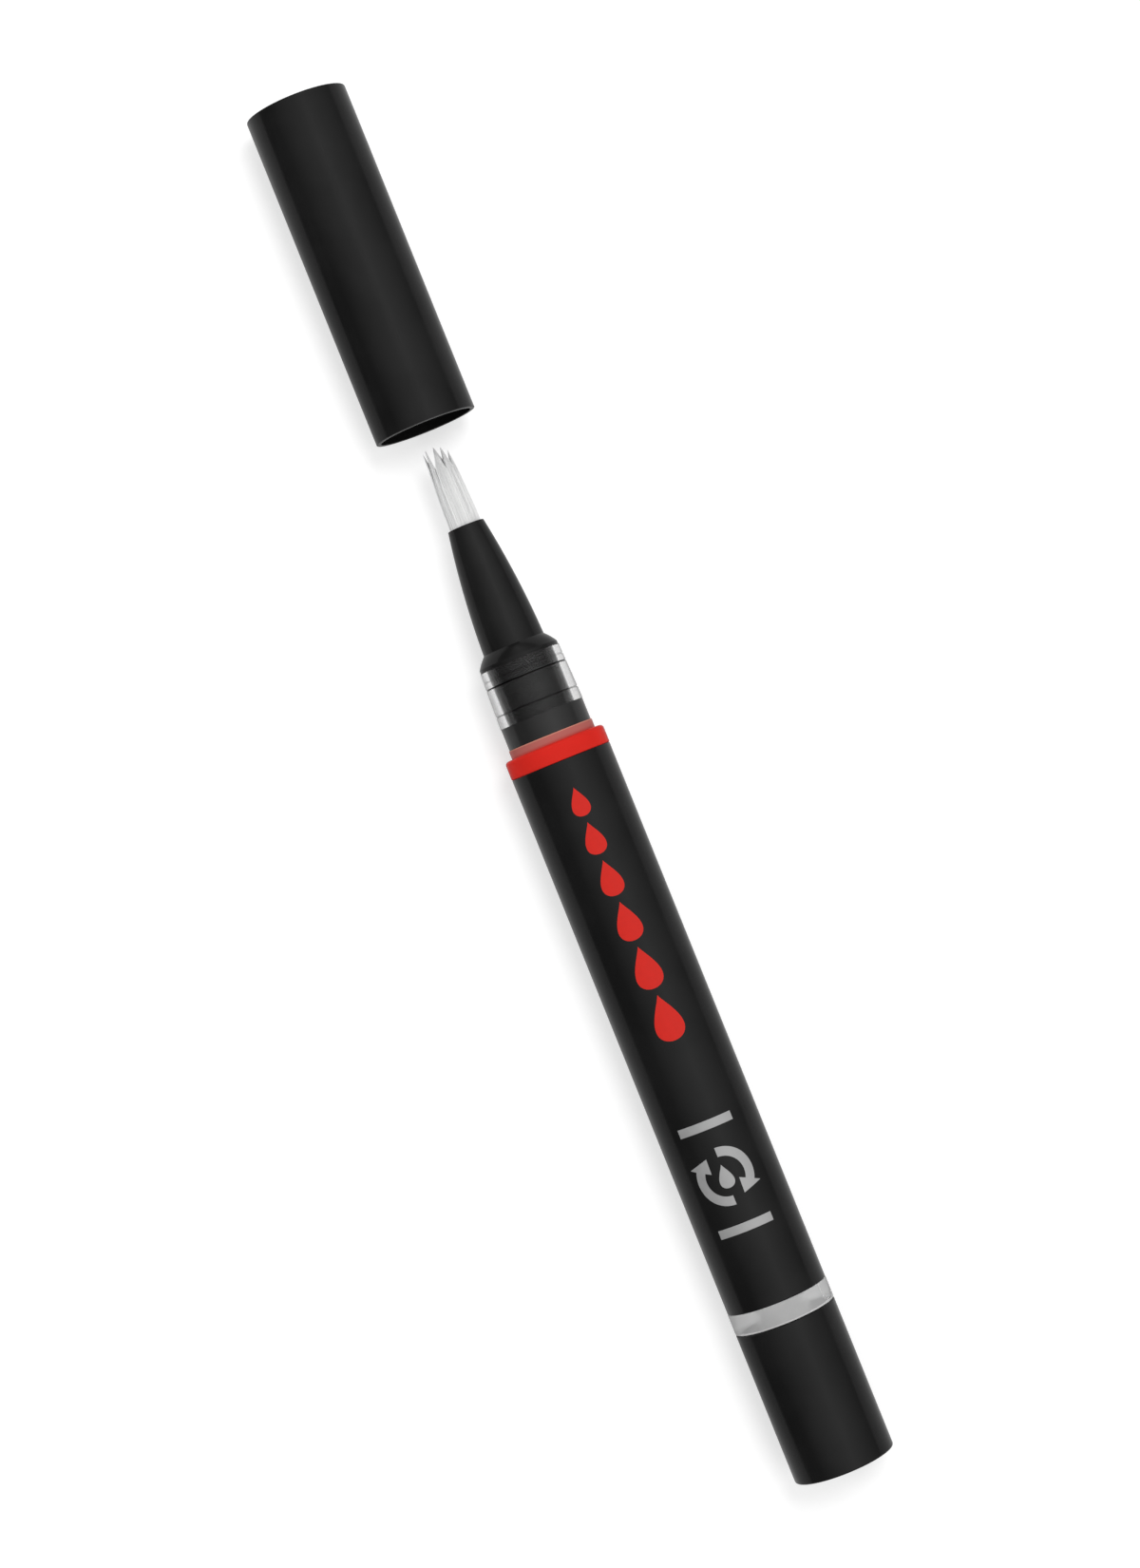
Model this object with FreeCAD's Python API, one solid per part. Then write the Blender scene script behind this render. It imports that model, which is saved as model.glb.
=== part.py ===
import FreeCAD, Part
import math
import os

from FreeCAD import Vector

# Twist-up oil pen with a brush tip, lying on a table with its cap pulled off.
# Sizes are in millimetres. While a piece is drawn, x runs along the pen's axis from the knob's
# closed end towards the brush and the cap, and r is the distance from that axis. save() moves
# each piece into the part's frame: X along the pen, Z up, and the origin on the table under the
# middle of the whole layout.

# Lengths along the outside, in order from the knob's closed end
knob_length = 17.5
collar_width = 2.4
barrel_length = 63.35
ring_width = 2.1
lip_height = 1.0
band_width = 2.5
neck_length = 6.5
dome_height = 1.7
cone_length = 14.1
brush_length = 9.2
cap_distance = 2.55
cap_length = 38.25

# Outside diameter and the steps and walls worked inward from it
outer_diameter = 11.6
barrel_relief = 0.03
barrel_wall = 1.12
tube_wall = 0.69
neck_step = 0.24
neck_draft = 0.21
lip_step = 0.05
band_relief = 0.05
dome_inset = 0.07
dome_side = 0.4
knob_wall = 1.0
knob_floor = 1.3
cap_wall = 0.5
cap_mouth_depth = 1.8
cap_top = 1.1

# Nozzle, bristles and feed
cone_base_diameter = 7.1
cone_bulge = 0.25
tip_wall = 0.27
shank_length = 9.0
shank_bore_diameter = 5.2
shank_bore_reach = 1.0
seal_rib_count = 2
seal_rib_width = 0.5
seal_rib_pitch = 1.2
tuft_diameter = 3.6
tuft_tip_diameter = 2.8
tuft_split = 3.4
clump_count = 7
clump_tip_diameter = 0.16
clump_stagger = 0.5
ferrule_wall = 0.35
ferrule_length = 4.0
ferrule_depth = 4.5
feed_plug_length = 4.0
feed_diameter = 1.0
feed_bore_diameter = 0.6
feed_rear_reach = 6.0
feed_tip_depth = 1.0

# Rear collar, nut and turning parts
hub_length = 9.0
hub_wall = 0.57
spigot_length = 24.0
spigot_wall = 0.64
nut_length = 4.0
nut_seat = 0.35
drive_wall = 0.77
drive_flange = 2.5
latch_groove_width = 1.0
latch_groove_depth = 0.3
ratchet_teeth = 12
ratchet_width = 1.6
tooth_height = 0.4
click_ring_wall = 0.32
click_arm_thickness = 0.26
click_arm_angle = 32.0
feed_lead = 3.0
thread_depth = 0.55
thread_root_width = 1.2
thread_crest_width = 0.8
flat_inset = 0.1

# Screw end, piston and its seal
screw_neck_step = 0.4
screw_button_step = 0.1
screw_button_length = 1.2
piston_length = 7.0
piston_throat = 0.9
piston_land_gap = 0.15
piston_seal_thickness = 0.7

# Moulded tongues on the collar
tongue_width = 2.2
tongue_reach = 1.95
tongue_groove = 0.22
tongue_groove_depth = 0.2
tongue_angle = 66.0
tongue_count = 2

# Rings moulded on the clear neck, measured back from the dome
neck_groove_places = (1.1, 1.93, 5.07)
neck_groove_width = 0.14
neck_groove_depth = 0.1

# Rounded edges
knob_end_round = 0.25
cap_end_round = 0.18
ring_round = 0.42
edge_round = 0.12

# Fits
press_gap = 0.03
running_gap = 0.08
thread_gap = 0.12
end_gap = 0.2
seal_gap = 0.15

# Places along the axis
collar_x = knob_length + running_gap
barrel_x = collar_x + collar_width
ring_x = barrel_x + barrel_length
seat_x = ring_x + ring_width
lip_x = seat_x + lip_height
neck_x = lip_x + band_width
dome_x = neck_x + neck_length
cone_x = dome_x + dome_height
tip_x = cone_x + cone_length
brush_x = tip_x + brush_length
cap_x = brush_x + cap_distance
overall_length = cap_x + cap_length

hub_x = collar_x - hub_length
spigot_x = barrel_x + spigot_length
nut_x = spigot_x - nut_length
drive_end_x = nut_x - end_gap
screw_x = knob_floor + end_gap
ratchet_x = hub_x + end_gap
latch_x = collar_x + collar_width / 2
piston_x = spigot_x + 2 * end_gap
throat_x = piston_x + piston_throat
shank_x = dome_x - shank_length
ferrule_x = tip_x - ferrule_depth - ferrule_length
feed_plug_x = ferrule_x - feed_plug_length
liner_depth = cone_x - seat_x + seal_gap

# Radii, worked inward from the outside
outer_radius = outer_diameter / 2
barrel_radius = outer_radius - barrel_relief
sleeve_bore = barrel_radius - barrel_wall
tube_radius = sleeve_bore - press_gap
tube_bore = tube_radius - tube_wall
neck_rear_radius = tube_radius + neck_step
neck_front_radius = neck_rear_radius - neck_draft
lip_radius = neck_rear_radius + lip_step
band_radius = neck_rear_radius - band_relief
dome_radius = neck_front_radius - dome_inset
cone_base_radius = cone_base_diameter / 2
tuft_radius = tuft_diameter / 2
tuft_tip_radius = tuft_tip_diameter / 2
tip_bore = tuft_radius + press_gap
tip_radius = tip_bore + tip_wall
ferrule_radius = tuft_radius + press_gap + ferrule_wall
ferrule_bore = ferrule_radius + press_gap
shank_radius = tube_bore - 2 * press_gap
shank_bore = shank_bore_diameter / 2
feed_radius = feed_diameter / 2
feed_bore = feed_bore_diameter / 2
cap_bore = lip_radius + running_gap
cap_mouth_bore = outer_radius - cap_wall
liner_radius = cap_bore - press_gap
liner_bore = cone_base_radius + seal_gap
knob_bore = outer_radius - knob_wall
hub_radius = knob_bore - running_gap
hub_bore = hub_radius - hub_wall
spigot_radius = tube_bore - press_gap
nut_radius = spigot_radius - spigot_wall - press_gap
spigot_bore = nut_radius + press_gap - nut_seat
drive_radius = spigot_bore - running_gap
drive_bore = drive_radius - drive_wall
screw_radius = drive_bore - running_gap
screw_core = screw_radius - thread_depth
screw_flat = screw_core - flat_inset
nut_bore = screw_radius + thread_gap
screw_neck = screw_core - screw_neck_step
screw_button = screw_core - screw_button_step
piston_radius = tube_bore - piston_land_gap
piston_seal_radius = tube_bore - press_gap

axis = Vector(1, 0, 0)
centre = Vector(0, 0, 0)


def on_axis(x):
    return Vector(x, 0, 0)


def line(start, end):
    """Straight edge of a half outline between two (x, r) points."""
    return Part.LineSegment(Vector(start[0], 0, start[1]), Vector(end[0], 0, end[1])).toShape()


def arc(start, middle, end):
    """Round edge of a half outline through three (x, r) points."""
    points = [Vector(x, 0, r) for x, r in (start, middle, end)]
    return Part.Arc(*points).toShape()


def turned_edges(edges):
    """Solid turned about the pen's axis from a closed half outline."""
    outline = Part.Face(Part.Wire(edges))
    return outline.revolve(centre, axis, 360)


def rounded_corner(before, corner, after):
    """Start, middle and end (x, r) of the arc that rounds a corner (x, r, rounding)."""
    here = Vector(corner[0], corner[1], 0)
    back = (Vector(before[0], before[1], 0) - here).normalize()
    ahead = (Vector(after[0], after[1], 0) - here).normalize()
    inward = (back + ahead).normalize()
    half_angle = back.getAngle(ahead) / 2
    setback = corner[2] / math.tan(half_angle)
    middle = here + inward * (corner[2] / math.sin(half_angle) - corner[2])
    points = (here + back * setback, middle, here + ahead * setback)
    return [(point.x, point.y) for point in points]


def turned(*corners):
    """Solid turned from a half outline whose corners are (x, r) or (x, r, rounding)."""
    trims = []
    for number, corner in enumerate(corners):
        after = corners[(number + 1) % len(corners)]
        if len(corner) == 3:
            trims.append(rounded_corner(corners[number - 1], corner, after))
        else:
            trims.append([corner])
    edges = []
    for number, trim in enumerate(trims):
        if len(trim) == 3:
            edges.append(arc(*trim))
        edges.append(line(trim[-1], trims[(number + 1) % len(trims)][0]))
    return turned_edges(edges)


def tube(start, end, bore, radius):
    """Plain tube between two places on the axis, with its outer edges eased."""
    return turned(
        (start, bore),
        (start, radius, edge_round),
        (end, radius, edge_round),
        (end, bore),
    )


def helical_ridge(start, turns, near, far, near_width, far_width):
    """Right-hand ridge round the axis, from radius near to radius far, as a swept solid."""
    helix = Part.makeHelix(feed_lead, turns * feed_lead, near)
    section = Part.makePolygon([
        Vector(near, 0, -near_width / 2),
        Vector(far, 0, -far_width / 2),
        Vector(far, 0, far_width / 2),
        Vector(near, 0, near_width / 2),
        Vector(near, 0, -near_width / 2),
    ])
    ridge = Part.Wire(helix).makePipeShell([section], True, True)
    ridge.rotate(centre, Vector(0, 1, 0), 90)
    ridge.translate(on_axis(start))
    return ridge


def two_flats(half_width, start, end):
    """Slab whose two flat sides, above and below the axis, shape the screw and its driver."""
    side = outer_diameter
    corner = Vector(start, -side / 2, -half_width)
    return Part.makeBox(end - start, side, 2 * half_width, corner)


def knob_shell():
    return turned(
        (0, 0),
        (0, outer_radius, knob_end_round),
        (knob_length, outer_radius, edge_round),
        (knob_length, knob_bore),
        (knob_floor, knob_bore),
        (knob_floor, 0),
    )


def ratchet():
    """Saw teeth that slope down the way the knob turns and stop it from turning back."""
    root = drive_radius - press_gap
    tip = drive_radius + tooth_height
    pitch = 2 * math.pi / ratchet_teeth
    points = []
    for tooth in range(ratchet_teeth):
        for radius, share in ((tip, 0.0), (drive_radius, 0.96)):
            angle = (tooth + share) * pitch
            points.append(Vector(ratchet_x, radius * math.cos(angle), radius * math.sin(angle)))
    points.append(points[0])
    wheel = Part.Face(Part.makePolygon(points)).extrude(on_axis(ratchet_width))
    return wheel.cut(Part.makeCylinder(root, ratchet_width, on_axis(ratchet_x), axis))


def drive_sleeve():
    flange_x = knob_floor + drive_flange
    groove = drive_radius - latch_groove_depth
    body = turned(
        (knob_floor, 0),
        (knob_floor, knob_bore - press_gap),
        (flange_x, knob_bore - press_gap),
        (flange_x, drive_radius),
        (latch_x - latch_groove_width / 2, drive_radius),
        (latch_x - latch_groove_width / 2, groove),
        (latch_x + latch_groove_width / 2, groove),
        (latch_x + latch_groove_width / 2, drive_radius),
        (drive_end_x, drive_radius),
        (drive_end_x, 0),
    )
    bore = Part.makeCylinder(drive_bore, drive_end_x - knob_floor, on_axis(knob_floor), axis)
    slot = bore.common(two_flats(screw_flat + running_gap, knob_floor, drive_end_x))
    return body.fuse(ratchet()).cut(slot).removeSplitter()


def click_arm(turn):
    """Springy arm from the ring's inside to the foot of a ratchet tooth."""
    outer = hub_bore - press_gap - click_ring_wall / 2
    pitch = 360 / ratchet_teeth
    tip = drive_radius + running_gap + click_arm_thickness / 2
    steep_side = pitch - math.degrees(running_gap / tip) * 2
    tip_angle = math.radians(steep_side)
    root_angle = math.radians(steep_side - click_arm_angle)
    end = Vector(ratchet_x, tip * math.cos(tip_angle), tip * math.sin(tip_angle))
    start = Vector(ratchet_x, outer * math.cos(root_angle), outer * math.sin(root_angle))
    along = end - start
    across = axis.cross(along).normalize() * (click_arm_thickness / 2)
    corners = [start + across, end + across, end - across, start - across, start + across]
    arm = Part.Face(Part.makePolygon(corners)).extrude(on_axis(ratchet_width))
    arm.rotate(centre, axis, turn)
    return arm


def click_ring():
    ring_radius = hub_bore - press_gap
    ring = turned(
        (ratchet_x, ring_radius - click_ring_wall),
        (ratchet_x, ring_radius),
        (ratchet_x + ratchet_width, ring_radius),
        (ratchet_x + ratchet_width, ring_radius - click_ring_wall),
    )
    return ring.fuse([click_arm(0), click_arm(180)]).removeSplitter()


def tongue_outline(extra):
    """Tongue seen from outside, wider and longer by extra, as a block that stands on the axis."""
    half = tongue_width / 2 + extra
    round_x = barrel_x - tongue_reach + tongue_width / 2
    block = Part.makeBox(barrel_x - round_x, 2 * half, outer_radius, Vector(round_x, -half, 0))
    end = Part.makeCylinder(half, outer_radius, on_axis(round_x), Vector(0, 0, 1))
    return block.fuse(end)


def tongue_grooves():
    """U-shaped grooves round the collar's moulded tongues, open towards the barrel."""
    groove = tongue_outline(tongue_groove).cut(tongue_outline(0))
    floor_radius = outer_radius - tongue_groove_depth
    groove = groove.cut(Part.makeCylinder(floor_radius, overall_length, centre, axis))
    grooves = []
    for number in range(tongue_count):
        copy = groove.copy()
        copy.rotate(centre, axis, tongue_angle + number * 360 / tongue_count)
        grooves.append(copy)
    return grooves


def rear_collar():
    bead = drive_radius - latch_groove_depth + running_gap
    bead_half = latch_groove_width / 2 - running_gap
    counterbore_x = ratchet_x + ratchet_width + end_gap
    body = turned(
        (hub_x, hub_bore),
        (hub_x, hub_radius),
        (collar_x, hub_radius),
        (collar_x, outer_radius, edge_round),
        (barrel_x, outer_radius, edge_round),
        (barrel_x, spigot_radius),
        (spigot_x, spigot_radius),
        (spigot_x, nut_radius + press_gap),
        (nut_x, nut_radius + press_gap),
        (nut_x, spigot_bore),
        (latch_x + bead_half, spigot_bore),
        (latch_x + bead_half, bead),
        (latch_x - bead_half, bead),
        (latch_x - bead_half, spigot_bore),
        (counterbore_x, spigot_bore),
        (counterbore_x, hub_bore),
    )
    return body.cut(tongue_grooves())


def thread_turns(length):
    """Whole and part turns of ridge that fit in a length, clear of its ends."""
    return (length - thread_root_width - 2 * thread_gap) / feed_lead


def screw_thread_x():
    return screw_x + thread_root_width / 2 + thread_gap


def lead_screw():
    thread_end_x = piston_x - end_gap
    button_x = throat_x + running_gap
    core = turned(
        (screw_x, 0),
        (screw_x, screw_core, edge_round),
        (thread_end_x, screw_core),
        (thread_end_x, 0),
    )
    turns = thread_turns(thread_end_x - screw_x)
    ridge = helical_ridge(
        screw_thread_x(),
        turns,
        screw_core - press_gap,
        screw_radius,
        thread_root_width,
        thread_crest_width,
    )
    rod = core.fuse(ridge).common(two_flats(screw_flat, screw_x, thread_end_x))
    end = turned(
        (thread_end_x, 0),
        (thread_end_x, screw_neck),
        (button_x, screw_neck),
        (button_x, screw_button),
        (button_x + screw_button_length, screw_button, edge_round),
        (button_x + screw_button_length, 0),
    )
    return rod.fuse(end).removeSplitter()


def drive_nut():
    body = turned(
        (nut_x, nut_bore),
        (nut_x, nut_radius),
        (spigot_x, nut_radius, edge_round),
        (spigot_x, nut_bore),
    )
    first_x = nut_x + thread_root_width / 2 + thread_gap
    groove_steps = math.ceil((first_x - screw_thread_x()) / feed_lead - 0.5)
    ridge_x = screw_thread_x() + (groove_steps + 0.5) * feed_lead
    turns = (spigot_x - thread_root_width / 2 - thread_gap - ridge_x) / feed_lead
    groove_at_crest = feed_lead - thread_crest_width - 2 * thread_gap
    groove_at_root = feed_lead - thread_root_width - 2 * thread_gap
    ridge = helical_ridge(
        ridge_x,
        turns,
        screw_core + thread_gap,
        nut_bore + press_gap,
        groove_at_root / 2,
        groove_at_crest / 2,
    )
    return body.fuse(ridge).removeSplitter()


def piston():
    cavity_x = throat_x + screw_button_length + 2 * running_gap
    front_x = piston_x + piston_length
    groove_depth = piston_seal_thickness + press_gap + piston_land_gap
    groove_half = piston_seal_thickness / 2 + press_gap
    seal_x = piston_seal_x()
    return turned(
        (piston_x, screw_neck + running_gap),
        (piston_x, piston_radius, edge_round),
        (seal_x - groove_half, piston_radius),
        (seal_x - groove_half, tube_bore - groove_depth),
        (seal_x + groove_half, tube_bore - groove_depth),
        (seal_x + groove_half, piston_radius),
        (front_x, piston_radius, edge_round),
        (front_x, 0),
        (cavity_x, 0),
        (cavity_x, screw_button + running_gap),
        (throat_x, screw_button + running_gap),
        (throat_x, screw_neck + running_gap),
    )


def piston_seal_x():
    return piston_x + piston_length / 2


def piston_seal():
    minor = piston_seal_thickness / 2
    return Part.makeTorus(piston_seal_radius - minor, minor, on_axis(piston_seal_x()), axis)


def barrel_sleeve():
    return tube(barrel_x, ring_x, sleeve_bore, barrel_radius)


def neck_radius(x):
    """Outside of the clear neck, which narrows evenly towards the dome."""
    return neck_rear_radius - neck_draft * (x - neck_x) / neck_length


def neck_grooves():
    """Fine rings cut into the clear neck."""
    grooves = []
    for place in neck_groove_places:
        start = dome_x - place - neck_groove_width / 2
        end = start + neck_groove_width
        floor_radius = neck_radius(dome_x - place) - neck_groove_depth
        grooves.append(turned(
            (start, floor_radius),
            (start, outer_radius),
            (end, outer_radius),
            (end, floor_radius),
        ))
    return grooves


def reservoir_tube():
    body = turned(
        (barrel_x, tube_bore),
        (barrel_x, tube_radius),
        (neck_x, tube_radius),
        (neck_x, neck_rear_radius),
        (dome_x, neck_front_radius),
        (dome_x, tube_bore),
    )
    return body.cut(neck_grooves())


def shoulder_ring():
    bore = tube_radius + press_gap
    return turned(
        (ring_x, bore),
        (ring_x, outer_radius, edge_round),
        (seat_x, outer_radius, ring_round),
        (seat_x, lip_radius),
        (lip_x, lip_radius),
        (lip_x, bore),
    )


def cap_grip_band():
    return turned(
        (lip_x, tube_radius + press_gap),
        (lip_x, band_radius),
        (neck_x, band_radius),
        (neck_x, tube_radius + press_gap),
    )


def seal_ribs():
    """Ribs near the end of the nozzle's shank that seal it in the tube."""
    ribs = []
    for number in range(seal_rib_count):
        start = shank_x + seal_rib_width + number * seal_rib_pitch
        ribs.append(turned(
            (start, shank_bore),
            (start, tube_bore - press_gap),
            (start + seal_rib_width, tube_bore - press_gap),
            (start + seal_rib_width, shank_bore),
        ))
    return ribs


def nozzle():
    bore_step_x = cone_x + shank_bore_reach
    shoulder_x = ferrule_x + ferrule_length
    side_x = dome_x + dome_side
    dome_middle = ((side_x + cone_x) / 2, (dome_radius + cone_base_radius) / 2 + dome_inset)
    cone_middle = ((cone_x + tip_x) / 2, (cone_base_radius + tip_radius) / 2 + cone_bulge)
    body = turned_edges([
        line((shank_x, shank_bore), (shank_x, shank_radius)),
        line((shank_x, shank_radius), (dome_x, shank_radius)),
        line((dome_x, shank_radius), (dome_x, dome_radius)),
        line((dome_x, dome_radius), (side_x, dome_radius)),
        arc((side_x, dome_radius), dome_middle, (cone_x, cone_base_radius)),
        arc((cone_x, cone_base_radius), cone_middle, (tip_x, tip_radius)),
        line((tip_x, tip_radius), (tip_x, tip_bore)),
        line((tip_x, tip_bore), (shoulder_x, tip_bore)),
        line((shoulder_x, tip_bore), (shoulder_x, ferrule_bore)),
        line((shoulder_x, ferrule_bore), (bore_step_x, ferrule_bore)),
        line((bore_step_x, ferrule_bore), (bore_step_x, shank_bore)),
        line((bore_step_x, shank_bore), (shank_x, shank_bore)),
    ])
    return body.fuse(seal_ribs()).removeSplitter()


def tuft_ferrule():
    return turned(
        (ferrule_x, tip_bore),
        (ferrule_x, ferrule_radius),
        (ferrule_x + ferrule_length, ferrule_radius),
        (ferrule_x + ferrule_length, tip_bore),
    )


def feed_plug():
    return turned(
        (feed_plug_x, feed_radius + press_gap),
        (feed_plug_x, ferrule_radius, edge_round),
        (ferrule_x, ferrule_radius),
        (ferrule_x, feed_radius + press_gap),
    )


def feed_tube():
    return turned(
        (feed_plug_x - feed_rear_reach, feed_bore),
        (feed_plug_x - feed_rear_reach, feed_radius),
        (tip_x - feed_tip_depth, feed_radius),
        (tip_x - feed_tip_depth, feed_bore),
    )


def bristle_clump(place, base_radius):
    """Pointed clump of bristles at the tuft's tip; place 0 is the middle one."""
    split_x = brush_x - tuft_split
    length = tuft_split - clump_stagger * (place % 3) / 2
    reach = 0 if place == 0 else tuft_tip_radius - base_radius
    angle = 2 * math.pi * place / (clump_count - 1)
    base = Vector(split_x, reach * math.cos(angle), reach * math.sin(angle))
    return Part.makeCone(base_radius, clump_tip_diameter / 2, length, base, axis)


def bristle_tuft():
    split_x = brush_x - tuft_split
    feed_hole = feed_radius + press_gap
    hole_x = tip_x - feed_tip_depth + end_gap
    body = turned(
        (ferrule_x, feed_hole),
        (ferrule_x, tuft_radius),
        (tip_x, tuft_radius),
        (split_x + end_gap, tuft_tip_radius),
        (split_x + end_gap, 0),
        (hole_x, 0),
        (hole_x, feed_hole),
    )
    base_radius = tuft_tip_radius / 3
    clumps = [bristle_clump(place, base_radius) for place in range(clump_count)]
    return body.fuse(clumps).removeSplitter()


def cap_shell():
    return turned(
        (cap_x, cap_mouth_bore),
        (cap_x, outer_radius, edge_round),
        (overall_length, outer_radius, cap_end_round),
        (overall_length, 0),
        (overall_length - cap_top, 0),
        (overall_length - cap_top, cap_bore),
        (cap_x + cap_mouth_depth, cap_bore),
        (cap_x + cap_mouth_depth, cap_mouth_bore),
    )


def cap_liner():
    start = cap_x + liner_depth
    end = overall_length - cap_top
    return turned(
        (start, liner_bore),
        (start, liner_radius, edge_round),
        (end, liner_radius),
        (end, liner_bore),
    )


def save(name, shape):
    """Write one piece in the part's frame."""
    placed = shape.copy()
    placed.translate(Vector(-overall_length / 2, 0, outer_radius))
    placed.exportStep(os.path.join("parts", name + ".step"))


pieces = (
    knob_shell,
    drive_sleeve,
    click_ring,
    rear_collar,
    drive_nut,
    lead_screw,
    piston,
    piston_seal,
    barrel_sleeve,
    reservoir_tube,
    shoulder_ring,
    cap_grip_band,
    nozzle,
    tuft_ferrule,
    feed_plug,
    feed_tube,
    bristle_tuft,
    cap_shell,
    cap_liner,
)

os.makedirs("parts", exist_ok=True)
for piece in pieces:
    save(piece.__name__, piece())
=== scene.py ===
from collections import namedtuple
import math
import random

import bmesh
import bpy
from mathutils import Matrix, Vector


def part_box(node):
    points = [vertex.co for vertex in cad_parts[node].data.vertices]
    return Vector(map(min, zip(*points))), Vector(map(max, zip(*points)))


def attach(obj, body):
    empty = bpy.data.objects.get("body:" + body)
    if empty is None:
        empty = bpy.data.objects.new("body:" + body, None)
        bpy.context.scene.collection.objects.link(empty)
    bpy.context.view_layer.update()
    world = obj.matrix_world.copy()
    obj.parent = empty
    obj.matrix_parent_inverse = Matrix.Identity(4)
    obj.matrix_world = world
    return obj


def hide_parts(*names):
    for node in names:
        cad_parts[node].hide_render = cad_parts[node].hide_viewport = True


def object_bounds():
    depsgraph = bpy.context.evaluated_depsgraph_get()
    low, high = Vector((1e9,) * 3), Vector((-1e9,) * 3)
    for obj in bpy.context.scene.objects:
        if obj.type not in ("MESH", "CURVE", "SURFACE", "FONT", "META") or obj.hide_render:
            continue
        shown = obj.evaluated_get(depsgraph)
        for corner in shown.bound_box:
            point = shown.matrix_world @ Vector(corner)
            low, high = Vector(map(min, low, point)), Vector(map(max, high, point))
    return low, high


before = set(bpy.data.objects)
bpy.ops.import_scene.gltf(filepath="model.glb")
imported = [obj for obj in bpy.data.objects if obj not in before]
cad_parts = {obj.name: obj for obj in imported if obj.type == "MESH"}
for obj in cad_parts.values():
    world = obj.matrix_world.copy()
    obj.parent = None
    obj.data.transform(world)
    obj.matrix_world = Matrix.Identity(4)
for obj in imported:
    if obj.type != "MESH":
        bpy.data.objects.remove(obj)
cad_low, cad_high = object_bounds()

# Finish and light for a black twist-up oil pen that lies on a white table beside its cap.
# Lengths are in metres, in the frame of the solids: X runs along the pen, Z is up.
MM = 0.001

# Photograph: its height in pixels, how far the pen's picture leans left of upright, how many
# pixels the whole layout is long, and how far off the camera was, in the same pixels
PHOTO_HEIGHT = 1650
PEN_LEAN = math.radians(22.0)
LAYOUT_PIXELS = 1542.3
CAMERA_PIXELS = 3800.0
SENSOR = 36.0
PICTURE_RIGHT = Vector((-math.sin(PEN_LEAN), -math.cos(PEN_LEAN), 0))
PICTURE_UP = Vector((math.cos(PEN_LEAN), -math.sin(PEN_LEAN), 0))

# Light: a strip overhead along the pen, brightest on its right, that fades to the walls and a
# little towards its own ends, and the heights between which the white surroundings end where
# they show through clear plastic
STRIP_TILT = math.radians(21)
STRIP_REACH = math.radians(76)
STRIP_LEVEL = 1.25
WALL_LEVEL = 0.02
STRIP_ENDS = 0.7
END_FADE = (0.5, 1.0)
WHITE_BELOW = (0.2, 0.4)

# Lamps: width, power, and place as distances up from the table, right and up the picture
KEY_SIZE = 0.22
KEY_WATTS = 1.6
KEY_PLACE = (0.62, 0.09, 0.23)
FILL_SIZE = 0.40
FILL_WATTS = 1.35
FILL_PLACE = (0.22, -0.60, 0.0)

# White table: half its width, its shade, how much it is lifted where it is seen, and how much
# less in the pen's own gloss, between two distances from the pen's line
TABLE_HALF = 3.0
FLOOR_GREY = 0.55
FLOOR_LIFT = 0.56
MIRRORED_LIFT = 0.07
MIRRORED_STRIP = (22 * MM, 46 * MM)

# Places read from the solids
knob_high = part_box("knob_shell")[1]
barrel_low, barrel_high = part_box("barrel_sleeve")
ring_low, ring_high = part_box("shoulder_ring")
tube_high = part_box("reservoir_tube")[1]
nozzle_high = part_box("nozzle")[1]
tuft_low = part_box("bristle_tuft")[0]
feed_low, feed_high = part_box("feed_tube")
cap_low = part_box("cap_shell")[0]
axis_y = (barrel_low.y + barrel_high.y) / 2
axis_z = (barrel_low.z + barrel_high.z) / 2
outer_radius = (ring_high.z - ring_low.z) / 2
barrel_radius = (barrel_high.z - barrel_low.z) / 2

# Red ring: its thin front lip, the cap's seat behind that lip, and the widths over which the
# colour changes from the seat into the lip and at the lip's front edge
LIP_HEIGHT = 1.0 * MM
seat_x = ring_high.x - LIP_HEIGHT
SEAT_BLEND = 0.06 * MM
LIP_FADE = 0.35 * MM
LIP_EDGE = (0.16 * MM, 0.04 * MM)
RING_REDS = ((0.86, 0.033, 0.023, 1), (0.92, 0.039, 0.028, 1))
LIP_PINKS = ((0.66, 0.100, 0.085, 1), (0.62, 0.190, 0.165, 1))
LIP_EDGE_PINK = (0.80, 0.34, 0.25, 1)

# Grey collar: depths between which its moulded lines are painted light as a highlight, and the width of
# the painted highlight on its rear edge
HIGHLIGHT_LINE_DEPTHS = (0.09 * MM, 0.03 * MM)
REAR_EDGE_HIGHLIGHT = (0.20 * MM, 0.34 * MM)

# Cap's rim: width of the band, how much paler it is painted as a highlight, and how much duller it is
RIM_HIGHLIGHT_WIDTH = (0.02 * MM, 0.10 * MM)
RIM_HIGHLIGHT_GREY = 0.10
RIM_DULLING = 0.2

# Values of a noise between which a finish changes, and how far its roughness changes
CLOUD_RANGE = (0.3, 0.7)
GLOSS_SPREAD = 0.05

# Seams of the solids' meshes that are closed, and the angle from which an edge stays sharp
SEAM_GAP = 0.0001 * MM
SHARP_EDGE = math.radians(30)

# Fine rings moulded on the clear neck, darkened with painted shade: distance behind the dome, and how much
# light the painted dark band passes
SHADED_NECK_RINGS = ((1.10 * MM, 0.45), (1.93 * MM, 0.0), (5.07 * MM, 0.20))
NECK_RING_WIDTH = 0.20 * MM

# Bristles: their number and form, how they stand at the root, and how they end
BRISTLE_COUNT = 760
BRISTLE_RADIUS = 0.06 * MM
BRISTLE_SIDES = 5
BRISTLE_RINGS = 9
ROOT_RADIUS = 1.75 * MM
FEED_GAP = 0.1 * MM
FLARE = 0.07 * MM
FLARE_SHARE = 0.06
TIP_SPREAD = 0.81
TIP_THINNING = 0.75
TIP_ROUNDING = 0.7
TIP_RAGGED = 0.45 * MM
SWAY = 0.03 * MM
CLUMP_SHARE = 0.16
SPLIT_SCATTER = 0.05

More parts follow.
